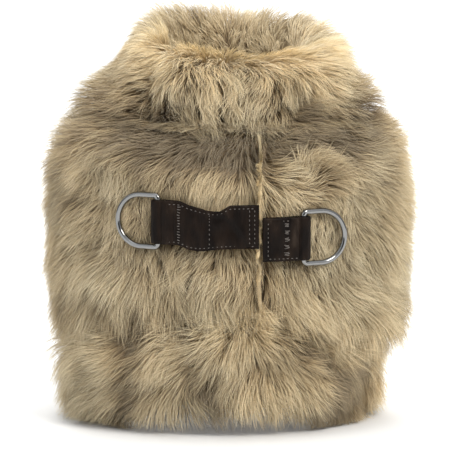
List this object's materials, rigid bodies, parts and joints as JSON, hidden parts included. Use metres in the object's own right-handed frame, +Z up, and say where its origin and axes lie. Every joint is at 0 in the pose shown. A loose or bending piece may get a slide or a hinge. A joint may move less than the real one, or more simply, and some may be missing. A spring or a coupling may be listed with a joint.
{
  "type": "pet harness vest",
  "caption": "Fur harness vest for a small dog, with a turned-over collar, a waistband, and two leather straps on the back that each hold a D-ring.",
  "frame": {"origin": "on the floor under the middle of the vest, which stands on its hem", "axes": "+Z up towards the neck; the dog's back, the opening, the straps and the rings face -Y; the chest faces +Y; +X is to the viewer's right"},
  "size_m": [0.206, 0.1882, 0.2202],
  "materials": {
    "fur": "long soft fake fur",
    "lining": "satin woven lining",
    "webbing": "flat woven webbing",
    "tape": "woven binding tape",
    "hook_and_loop": "hook and loop tape",
    "strap": "dark smooth leather, satin",
    "thread": "waxed thread",
    "ring": "polished welded wire"
  },
  "bodies": {
    "chest": {"chest_fur": "fur", "chest_waistband": "fur", "chest_collar": "fur", "chest_lining": "lining", "chest_webbing": "webbing", "chest_hem_tape": "tape", "left_leg_binding": "tape", "right_leg_binding": "tape"},
    "left_flap": {"left_fur": "fur", "left_waistband": "fur", "left_collar": "fur", "left_lining": "lining", "left_webbing": "webbing", "left_hem_tape": "tape", "left_edge_binding": "tape", "left_strap": "strap", "left_strap_stitching": "thread", "left_strap_backing": "webbing", "hook_strip": "hook_and_loop"},
    "right_flap": {"right_fur": "fur", "right_waistband": "fur", "right_collar": "fur", "right_lining": "lining", "right_webbing": "webbing", "right_hem_tape": "tape", "right_edge_binding": "tape", "right_strap": "strap", "right_strap_stitching": "thread", "right_strap_backing": "webbing", "loop_strip": "hook_and_loop", "underlap": "lining"},
    "left_ring": {"left_d_ring": "ring"},
    "right_ring": {"right_d_ring": "ring"}
  },
  "joints": [
    {"name": "left_flap_opening", "type": "hinge", "parent": "chest", "child": "left_flap", "pos_m": [-0.087, 0, 0], "axis": [0.073, 0, 0.9973], "range_deg": [-55, 0]},
    {"name": "right_flap_opening", "type": "hinge", "parent": "chest", "child": "right_flap", "pos_m": [0.087, 0, 0], "axis": [-0.073, 0, 0.9973], "range_deg": [0, 55]},
    {"name": "left_ring_swing", "type": "hinge", "parent": "left_flap", "child": "left_ring", "pos_m": [-0.03844, -0.07817, 0.119], "axis": [0, 0, 1], "range_deg": [0, 150]},
    {"name": "right_ring_swing", "type": "hinge", "parent": "right_flap", "child": "right_ring", "pos_m": [0.04038, -0.07766, 0.11], "axis": [0, 0, 1], "range_deg": [-150, 0]}
  ],
  "couplings": [
    {"joint": "right_flap_opening", "follows": "left_flap_opening", "ratio": -1}
  ]
}
